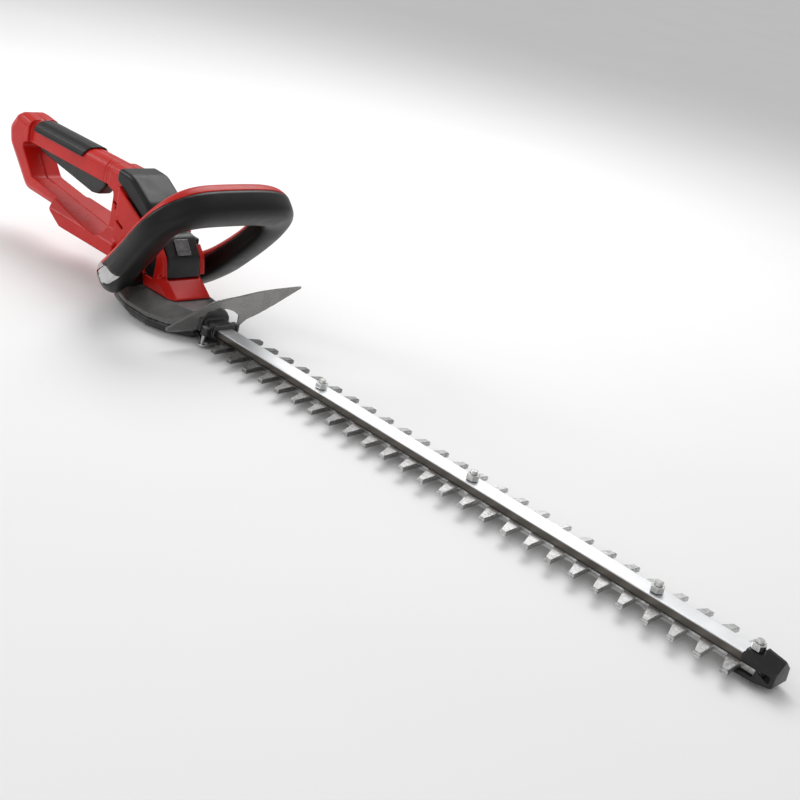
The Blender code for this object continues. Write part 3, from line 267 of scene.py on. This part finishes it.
FINISHES = {
    "red_plastic": moulded("red nylon", (0.46, 0.008, 0.005), (0.54, 0.012, 0.008), (0.66, 0.12, 0.09),
                           (0.26, 0.42), 1300.0, 0.05 * MM, 0.35, 0.02, 0.08, shine=0.22),
    "soft_grip": moulded("soft black elastomer", (0.0045, 0.0043, 0.0042), (0.008, 0.0076, 0.0074),
                         (0.10, 0.10, 0.10), (0.30, 0.42), 1700.0, 0.04 * MM, 0.5, 0.02, shine=0.26),
    "black_plastic": moulded("black nylon", (0.006, 0.006, 0.0065), (0.011, 0.011, 0.0115),
                             (0.10, 0.10, 0.10), (0.30, 0.44), 1500.0, 0.05 * MM, 0.5, 0.04, shine=0.4),
    "grey_casting": moulded("grey painted casting", (0.070, 0.069, 0.068), (0.115, 0.113, 0.111),
                            (0.55, 0.55, 0.56), (0.26, 0.42), 700.0, 0.08 * MM, 0.7, 0.08, 0.15),
    "dark_casting": moulded("dark painted casting", (0.012, 0.012, 0.013), (0.022, 0.022, 0.023),
                            (0.30, 0.30, 0.31), (0.26, 0.42), 700.0, 0.08 * MM, 0.7, 0.06, 0.10),
    "board_green": moulded("lacquered circuit board", (0.015, 0.085, 0.030), (0.025, 0.12, 0.045),
                           (0.30, 0.26, 0.12), (0.25, 0.35), 900.0, 0.04 * MM, 0.4, 0.1, 0.3, 160.0),
    "badge_silver": moulded("blank grey badge", (0.060, 0.060, 0.064), (0.105, 0.105, 0.110),
                            (0.45, 0.45, 0.46), (0.30, 0.40), 1600.0, 0.04 * MM, 0.6, 0.1, 0.2, 70.0),
}
print("moulded and cast finishes:", len(FINISHES))

# %% [markdown]
# The cutter is ground steel, the guide rail is a drawn section with a brushed top, and the
# screws are zinc-plated. Metal shows its finish in the gloss, so the lines drive roughness,
# and streaks of a darker tone stain it. Painted shade darkens the blades near the gearbox.

# %% Metal finishes
def side_mask(tree):
    """1 on faces that look sideways, 0 on faces that look up or down."""
    shape = add(tree, "ShaderNodeNewGeometry")
    split = add(tree, "ShaderNodeSeparateXYZ")
    tree.links.new(shape.outputs["Normal"], split.inputs[0])
    return spread(tree, math_node(tree, "ABSOLUTE", split.outputs["Z"], 0.0), 0.75, 0.35)


def reach_mask(tree, start, end):
    """Falls from 1 to 0 along the cutter, between two places on X in metres."""
    place_at = add(tree, "ShaderNodeTexCoord")
    split = add(tree, "ShaderNodeSeparateXYZ")
    tree.links.new(place_at.outputs["Object"], split.inputs[0])
    return spread(tree, split.outputs["X"], start, end, 1.0, 0.0)


def metal(name, deep, light, gloss, line_scale, depth, stain=0.35, drift=18.0, sides=None, darkened=None):
    """sides is the tone of sideways faces; the last argument is (start, end, tone) of a painted shade that
    fades out along X.
    """
    material, tree, shader = new_finish(name)
    cloud = spread(tree, noise(tree, drift, 5.0), 0.30, 0.66)
    base = blend_colour(tree, cloud, deep, light)
    edges = place_group(tree, EDGES, Amount=0.6, Breakup=420.0)
    base = blend_colour(tree, edges.outputs["Mask"], base, (0.86, 0.86, 0.87))
    lines = place_group(tree, LINES, Scale=line_scale)
    stained = math_node(tree, "MULTIPLY", lines.outputs["Streak"], stain)
    base = blend_colour(tree, stained, base, tuple(0.35 * value for value in deep))
    if sides:
        base = blend_colour(tree, side_mask(tree), base, sides)
    # Painted shade: the colour is darkened near the gearbox and fades out along X.
    if darkened:
        reach = reach_mask(tree, darkened[0], darkened[1])
        painted_shade = math_node(tree, "MULTIPLY", reach, spread(tree, cloud, 0.0, 1.0, 0.7, 1.0))
        base = blend_colour(tree, painted_shade, base, darkened[2])
    tree.links.new(base, shader.inputs["Base Color"])
    rough = spread(tree, lines.outputs["Height"], 0.3, 0.7, gloss[0], gloss[1])
    tree.links.new(rough, shader.inputs["Roughness"])
    shader.inputs["Metallic"].default_value = 1.0
    bump(tree, shader, lines.outputs["Height"], depth)
    return material


FINISHES.update({
    # The blade steel carries painted shade that darkens it towards the gearbox.
    "blade_steel": metal("ground blade steel", (0.34, 0.335, 0.33), (0.62, 0.62, 0.61), (0.22, 0.42), 70.0,
                         0.05 * MM, 0.5, darkened=(0.10, 0.40, (0.10, 0.097, 0.094))),
    "rail_metal": metal("brushed rail", (0.66, 0.67, 0.68), (0.84, 0.85, 0.86), (0.30, 0.46), 95.0,
                        0.04 * MM, 0.12, sides=(0.17, 0.155, 0.14)),
    "fastener_steel": metal("zinc plate", (0.50, 0.50, 0.49), (0.74, 0.74, 0.73), (0.20, 0.36), 120.0,
                            0.03 * MM, 0.2, 120.0),
    "gear_steel": metal("machined gear steel", (0.30, 0.30, 0.30), (0.50, 0.50, 0.50), (0.24, 0.40), 110.0,
                        0.03 * MM, 0.35, 60.0),
    "bearing_bronze": metal("oiled bronze", (0.42, 0.26, 0.09), (0.66, 0.45, 0.18), (0.26, 0.42), 110.0,
                            0.03 * MM, 0.3, 60.0),
    "motor_steel": metal("plated motor steel", (0.36, 0.36, 0.37), (0.58, 0.58, 0.59), (0.22, 0.36), 60.0,
                         0.03 * MM, 0.2, 40.0),
    "spring_steel": metal("spring wire", (0.32, 0.32, 0.33), (0.52, 0.52, 0.53), (0.22, 0.34), 140.0,
                          0.02 * MM, 0.2, 90.0),
})
print("finishes so far:", len(FINISHES))

# %% [markdown]
# The hand guard is smoke-grey clear plastic. It keeps a plain transmission, and only its
# colour, gloss and surface carry noise, so light still passes through it evenly.

# %% Smoked clear finish
def smoked():
    material, tree, shader = new_finish("smoked clear guard")
    cloud = spread(tree, noise(tree, 22.0, 4.0), 0.3, 0.7)
    base = blend_colour(tree, cloud, (0.24, 0.235, 0.23), (0.34, 0.335, 0.33))
    edges = place_group(tree, EDGES, Amount=0.8)
    base = blend_colour(tree, edges.outputs["Mask"], base, (0.92, 0.92, 0.93))
    tree.links.new(base, shader.inputs["Base Color"])
    rough = spread(tree, noise(tree, 300.0, 5.0), 0.3, 0.7, 0.10, 0.26)
    tree.links.new(rough, shader.inputs["Roughness"])
    shader.inputs["Transmission Weight"].default_value = 0.72
    shader.inputs["IOR"].default_value = 1.55
    ripple = place_group(tree, GRAIN, Scale=60.0)
    bump(tree, shader, ripple.outputs["Height"], 0.12 * MM, 0.6)
    return material


FINISHES["smoked_clear"] = smoked()
slot_of = {part["node"]: part["material_slot"] for part in frame["record"]["subparts"]}
body_of = {}
for body, names in frame["record"]["behaviour"]["bodies"].items():
    for name in names:
        body_of[name] = body
print("finishes:", sorted(FINISHES))

# %% [markdown]
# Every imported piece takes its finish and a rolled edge. Pieces inside the tool, and small
# hardware, keep that as their look, and the larger shells get a skin of their own below. A
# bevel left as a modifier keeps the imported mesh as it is.

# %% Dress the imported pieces
WELD_DISTANCE = 0.01 * MM
ROLLED_EDGE = 0.25 * MM
SHARP_OVER = math.radians(40)


def dress(node):
    """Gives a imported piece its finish, joins its split corners and rolls its sharp edges."""
    piece = frame["nodes"][node]
    piece.data.materials.clear()
    piece.data.materials.append(FINISHES[slot_of[node]])
    weld = piece.modifiers.new("joined corners", "WELD")
    weld.merge_threshold = WELD_DISTANCE
    roll = piece.modifiers.new("rolled edges", "BEVEL")
    roll.width = ROLLED_EDGE
    roll.segments = 2
    roll.limit_method = "ANGLE"
    roll.angle_limit = SHARP_OVER
    even = piece.modifiers.new("even shading", "WEIGHTED_NORMAL")
    even.keep_sharp = True


for node in frame["nodes"]:
    dress(node)
print("dressed:", len(frame["nodes"]))

# %% [markdown]
# The shells are injection moulded: every corner has a radius, and the faces flow into each
# other. A bevel would break on such joined forms, so each shell is copied, cut for its fine
# features, re-meshed evenly and eased, which rounds all its corners as a mould does.

# %% Helper: a moulded skin
def object_from(made, name):
    """A new object in the scene, with the mesh that has been built."""
    mesh = bpy.data.meshes.new(name)
    made.to_mesh(mesh)
    made.free()
    piece = bpy.data.objects.new(name, mesh)
    bpy.context.scene.collection.objects.link(piece)
    return piece


def copy_of(node, name):
    """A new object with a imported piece's welded mesh."""
    made = bmesh.new()
    made.from_mesh(frame["nodes"][node].data)
    bmesh.ops.remove_doubles(made, verts=made.verts, dist=WELD_DISTANCE)
    return object_from(made, name)


def settle(piece):
    """Turns a piece's modifiers into plain mesh."""
    bpy.context.view_layer.update()
    seen = piece.evaluated_get(bpy.context.evaluated_depsgraph_get())
    mesh = bpy.data.meshes.new_from_object(seen)
    piece.modifiers.clear()
    piece.data = mesh


def carve(piece, cutters):
    """Cuts the given solids out of a piece, and removes them."""
    for cutter in cutters:
        cut = piece.modifiers.new("cut", "BOOLEAN")
        cut.operation = "DIFFERENCE"
        cut.object = cutter
        settle(piece)
        bpy.data.objects.remove(cutter, do_unlink=True)


def place(piece, *nodes):
    """Finishes a skin: its finish, its body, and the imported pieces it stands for."""
    node = nodes[0]
    piece.data.materials.clear()
    piece.data.materials.append(FINISHES[slot_of[node]])
    piece.data.shade_smooth()
    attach(piece, body_of[node])
    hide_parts(*nodes)
    print(piece.name, "faces", len(piece.data.polygons))
    return piece


def moulded_skin(node, name, grid, ease, cutters=()):
    """An evenly meshed, eased copy of a packed shell."""
    piece = copy_of(node, name)
    carve(piece, cutters)
    even = piece.modifiers.new("even mesh", "REMESH")
    even.mode = "VOXEL"
    even.voxel_size = grid
    settle(piece)
    soften = piece.modifiers.new("eased corners", "SMOOTH")
    soften.factor = 0.5
    soften.iterations = ease
    settle(piece)
    place(piece, node)


# %% [markdown]
# The body's two halves meet in a fine seam down the middle of the handle. Each half has three
# slanted vents, cut right through the wall, and two fine grooves ring the top of the handle
# ahead of the grip pad. All are cut before the shell is re-meshed, so that their lips come
# out rounded.

# %% Body halves with vents and rings
def slot_cutter(centre, length, width, depth, lean):
    """A round-ended bar for cutting a groove; lean turns it about Y."""
    made = bmesh.new()
    steps = 8
    rims = []
    for side in (-1, 1):
        ring = []
        for end in (-1, 1):
            for step in range(steps + 1):
                angle = math.pi * (step / steps - 0.5) + (math.pi if end < 0 else 0)
                x = end * length / 2 + width / 2 * math.cos(angle)
                z = width / 2 * math.sin(angle)
                ring.append(made.verts.new((x, side * depth, z)))
        rims.append(ring)
    made.faces.new(rims[0])
    made.faces.new(list(reversed(rims[1])))
    count = len(rims[0])
    for index in range(count):
        after = (index + 1) % count
        made.faces.new((rims[0][after], rims[0][index], rims[1][index], rims[1][after]))
    bmesh.ops.recalc_face_normals(made, faces=made.faces)
    cutter = object_from(made, "slot cutter")
    cutter.data.transform(Matrix.Translation(centre) @ Matrix.Rotation(lean, 4, "Y"))
    return cutter


def side_at(node, x, z, side):
    """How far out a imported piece's side face is at a place."""
    piece = frame["nodes"][node]
    hit, where, _, _ = piece.ray_cast(Vector((x, side, z)), Vector((0, -side, 0)))
    return where.y if hit else None


VENT_MIDDLE = Vector((-71 * MM, 0, 77 * MM))
VENT_STEP = Vector((5.6 * MM, 0, -5.1 * MM))
VENT_LEAN = math.radians(22)
VENT_LENGTHS = (14 * MM, 18 * MM, 22 * MM)
VENT_WIDTH = 2.8 * MM
VENT_DEPTH = 7 * MM


def vents(node, side):
    """Cutters for one side's row of vents."""
    cutters = []
    for row, length in enumerate(VENT_LENGTHS):
        middle = VENT_MIDDLE + (row - 1) * VENT_STEP
        face = side_at(node, middle.x, middle.z, side)
        if face is not None:
            middle.y = face
            cutters.append(slot_cutter(middle, length, VENT_WIDTH, VENT_DEPTH, VENT_LEAN))
    print("vents on", node, len(cutters))
    return cutters


GRIP_HALF = 14.3 * MM
GRIP_ARCH = 15 * MM
PAD_THICK = 1.9 * MM
GRIP_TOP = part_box("grip_overmould")[1][2] - PAD_THICK
ARCH_POWER = 0.714
RING_PLACES = (-109 * MM, -104.5 * MM)
RING_WIDTH = 1.6 * MM
RING_DEPTH = 0.9 * MM
RING_OUTSIDE = 3 * MM
RING_FOOT = 8 * MM


def ring_cutter(x):
    """A thin arch that cuts a groove over the handle, from side to side."""
    made = bmesh.new()
    steps = 20
    spring_z = GRIP_TOP - GRIP_ARCH
    arches = []
    for along in (x - RING_WIDTH / 2, x + RING_WIDTH / 2):
        for grow in (-RING_DEPTH, RING_OUTSIDE):
            half, rise = GRIP_HALF + grow, GRIP_ARCH + grow
            arch = [made.verts.new((along, half, spring_z - RING_FOOT))]
            for step in range(steps + 1):
                angle = math.pi * step / steps
                y = half * math.copysign(abs(math.cos(angle)) ** ARCH_POWER, math.cos(angle))
                z = spring_z + rise * math.sin(angle) ** ARCH_POWER
                arch.append(made.verts.new((along, y, z)))
            arch.append(made.verts.new((along, -half, spring_z - RING_FOOT)))
            arches.append(arch)
    near_in, near_out, far_in, far_out = arches
    walls = ((near_in, near_out), (near_out, far_out), (far_out, far_in), (far_in, near_in))
    for index in range(len(near_in) - 1):
        for first, second in walls:
            made.faces.new((first[index], first[index + 1], second[index + 1], second[index]))
    for end in (0, -1):
        made.faces.new((near_in[end], near_out[end], far_out[end], far_in[end]))
    bmesh.ops.recalc_face_normals(made, faces=made.faces)
    return object_from(made, "ring cutter")


GRID = 0.8 * MM
for node, name, side in (("housing_right", "body_right_half", -1), ("housing_left", "body_left_half", 1)):
    rings = [ring_cutter(x) for x in RING_PLACES]
    moulded_skin(node, name, GRID, 3, vents(node, side) + rings)

# %% [markdown]
# The motor cover, nose, insert, trigger and grip pad are single mouldings. The grip pad is
# thin elastomer over the handle's top, so it takes the finest grid.

# %% Cover, nose, insert, trigger and grip pad
moulded_skin("motor_cover", "motor_cap", 0.9 * MM, 22)
moulded_skin("nose_cover", "nose_cowl", 0.8 * MM, 3)
moulded_skin("front_insert", "nose_insert", 0.8 * MM, 3)
moulded_skin("trigger", "trigger_lever", 0.7 * MM, 3)
moulded_skin("grip_overmould", "grip_pad", 0.6 * MM, 3)

# %% [markdown]
# The gearbox is two die-castings. Their facets are real, so the easing is kept light: it only
# takes the knife edge off each facet.

# %% Gearbox castings
moulded_skin("gearbox_upper_shell", "gearbox_top", 0.9 * MM, 2)
moulded_skin("gearbox_lower_shell", "gearbox_foot", 0.9 * MM, 2)
moulded_skin("neck_clamp", "neck_casting", 0.7 * MM, 2)
moulded_skin("hand_guard", "clear_guard", 0.8 * MM, 3)
moulded_skin("tip_guard", "tip_shoe", 0.7 * MM, 3)

# %% [markdown]
# The front loop is a long bent tube of two shells. Its sections run evenly round the loop, so
# subdivision gives a truer curve than an even grid: pairs of triangles become quads again,
# and only the shells' own rims stay creased.

# %% Loop shells
def flowing_skin(node, name, keep_over=38.0, levels=2):
    """A subdivided copy of a lofted shell, creased where its faces meet more sharply than an angle."""
    piece = copy_of(node, name)
    made = bmesh.new()
    made.from_mesh(piece.data)
    bmesh.ops.join_triangles(made, faces=made.faces, angle_face_threshold=math.radians(30),
                             angle_shape_threshold=math.radians(50))
    crease = made.edges.layers.float.new("crease_edge")
    for edge in made.edges:
        if len(edge.link_faces) == 2 and edge.calc_face_angle(0.0) > math.radians(keep_over):
            edge[crease] = 0.9
    made.to_mesh(piece.data)
    made.free()
    finer = piece.modifiers.new("flowing surface", "SUBSURF")
    finer.levels = levels
    finer.render_levels = levels
    settle(piece)
    return place(piece, node)


FOOT_FACET_Y = 71 * MM
FOOT_REACH = 0.6 * MM
FOOT_BELOW_Z = 60 * MM
FLAT_SIDE = 0.95
# A pale grey finish, used as a painted highlight on the flat notch of each loop foot.
PAINTED_FOOT_HIGHLIGHT = moulded("painted_highlight silver foot", (0.42, 0.42, 0.42), (0.56, 0.56, 0.56), (0.80, 0.80, 0.80),
                    (0.30, 0.42), 500.0, 0.10 * MM, 0.5, 0.0, 0.2, 90.0)


def paint_foot_highlight(piece):
    """Colours the flat notch on the outside of each loop foot pale grey, as a painted highlight."""
    piece.data.materials.append(PAINTED_FOOT_HIGHLIGHT)
    count = 0
    for face in piece.data.polygons:
        flat = abs(face.normal.y) > FLAT_SIDE
        near = abs(abs(face.center.y) - FOOT_FACET_Y) < FOOT_REACH
        if flat and near and face.center.z < FOOT_BELOW_Z:
            face.material_index = 1
            face.use_smooth = False
            count += 1
    print(piece.name, "foot faces", count)


# Both loop shells get the painted highlight on their foot notches.
paint_foot_highlight(flowing_skin("loop_front_shell", "loop_front"))
paint_foot_highlight(flowing_skin("loop_rear_shell", "loop_rear"))

# %% [markdown]
# Each blade is a flat strip with teeth on both sides. The teeth are ground to a bevel along
# their flanks, which catches the light as a bright line. The strip's rim edges are beveled
# in one step; the drilled slots are left square.

# %% Blades
GROUND_WIDTH = 1.1 * MM
RIM_FROM = 0.45
FACE_REACH = 0.01 * MM


def ground_blade(node, name, up):
    """A copy of a blade whose toothed rim is ground off on its outer face."""
    piece = copy_of(node, name)
    made = bmesh.new()
    made.from_mesh(piece.data)
    bmesh.ops.dissolve_limit(made, angle_limit=math.radians(1), verts=made.verts, edges=made.edges)
    low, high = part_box(node)
    face_z = high[2] if up else low[2]
    rim = []
    for edge in made.edges:
        tops = all(abs(vert.co.z - face_z) < FACE_REACH for vert in edge.verts)
        outer = max(abs(vert.co.y) for vert in edge.verts) > RIM_FROM * high[1]
        if tops and outer:
            rim.append(edge)
    bmesh.ops.bevel(made, geom=rim, offset=GROUND_WIDTH, segments=1, affect="EDGES",
                    clamp_overlap=True)
    made.to_mesh(piece.data)
    made.free()
    roll = piece.modifiers.new("soft rim", "BEVEL")
    roll.width = 0.12 * MM
    roll.segments = 1
    roll.limit_method = "ANGLE"
    roll.angle_limit = math.radians(30)
    settle(piece)
    place(piece, node)
    piece.data.shade_flat()
    print(name, "ground edges", len(rim))


ground_blade("upper_blade", "top_blade", True)
ground_blade("lower_blade", "bottom_blade", False)

# %% [markdown]
# The floor is one pale sheet, and the light is large and soft: a broad panel above and behind
# for the long highlights on the handle and the loop, a weak one from the front, and a smaller
# one beside the rear handle.

# %% Floor, light and camera
FLOOR_HALF = 40
FLOOR_DROP = 0.5 * MM
SOFT_ROOM = 0.55


def floor():
    made = bmesh.new()
    turns = ((-1, -1), (1, -1), (1, 1), (-1, 1))
    corners = [made.verts.new((x * FLOOR_HALF, y * FLOOR_HALF, 0)) for x, y in turns]
    made.faces.new(corners)
    sheet = object_from(made, "floor")
    sheet.location.z = -FLOOR_DROP
    material, tree, shader = new_finish("pale paper")
    cloud = spread(tree, noise(tree, 3.0, 3.0), 0.3, 0.7)
    tree.links.new(blend_colour(tree, cloud, (0.90, 0.90, 0.90), (0.92, 0.92, 0.92)),
                   shader.inputs["Base Color"])
    shader.inputs["Roughness"].default_value = 0.9
    sheet.data.materials.append(material)


def lamp(name, place_at, aim, size, power):
    light = bpy.data.lights.new(name, "AREA")
    light.size = size
    light.energy = power
    made = bpy.data.objects.new(name, light)
    made.location = place_at
    made.rotation_euler = (Vector(aim) - Vector(place_at)).to_track_quat("-Z", "Y").to_euler()
    bpy.context.scene.collection.objects.link(made)


floor()
middle = (0.15, 0.0, 0.06)
lamp("key", (-0.5, 0.9, 1.5), middle, 1.2, 18.0)
lamp("front", (0.8, -1.6, 1.0), middle, 1.4, 3.0)
lamp("side", (-1.3, -0.9, 0.9), middle, 0.7, 8.0)
world = bpy.data.worlds.new("soft room")
bpy.context.scene.world = world
world.use_nodes = True
world.node_tree.nodes["Background"].inputs["Color"].default_value = (1.0, 1.0, 1.0, 1.0)
world.node_tree.nodes["Background"].inputs["Strength"].default_value = SOFT_ROOM
bpy.context.scene.view_settings.view_transform = "Standard"

CAMERA_PLACE = (980.7 * MM, -806.1 * MM, 460.9 * MM)
azimuth = math.radians(39.75)
elevation = math.radians(21.56)
roll = math.radians(13.33)
right = Vector((math.cos(azimuth), math.sin(azimuth), 0))
up = Vector((-math.sin(azimuth) * math.sin(elevation), math.cos(azimuth) * math.sin(elevation),
             math.cos(elevation)))
back = right.cross(up)
leant_right = math.cos(roll) * right + math.sin(roll) * up
leant_up = -math.sin(roll) * right + math.cos(roll) * up
camera = bpy.data.objects.new("camera", bpy.data.cameras.new("camera"))
camera.data.lens = 62.0
camera.data.sensor_width = 36.0
camera.matrix_world = Matrix((
    (leant_right.x, leant_up.x, back.x, CAMERA_PLACE[0]),
    (leant_right.y, leant_up.y, back.y, CAMERA_PLACE[1]),
    (leant_right.z, leant_up.z, back.z, CAMERA_PLACE[2]),
    (0, 0, 0, 1)))
bpy.context.scene.collection.objects.link(camera)
bpy.context.scene.camera = camera
print("camera at", [round(value, 3) for value in camera.location])
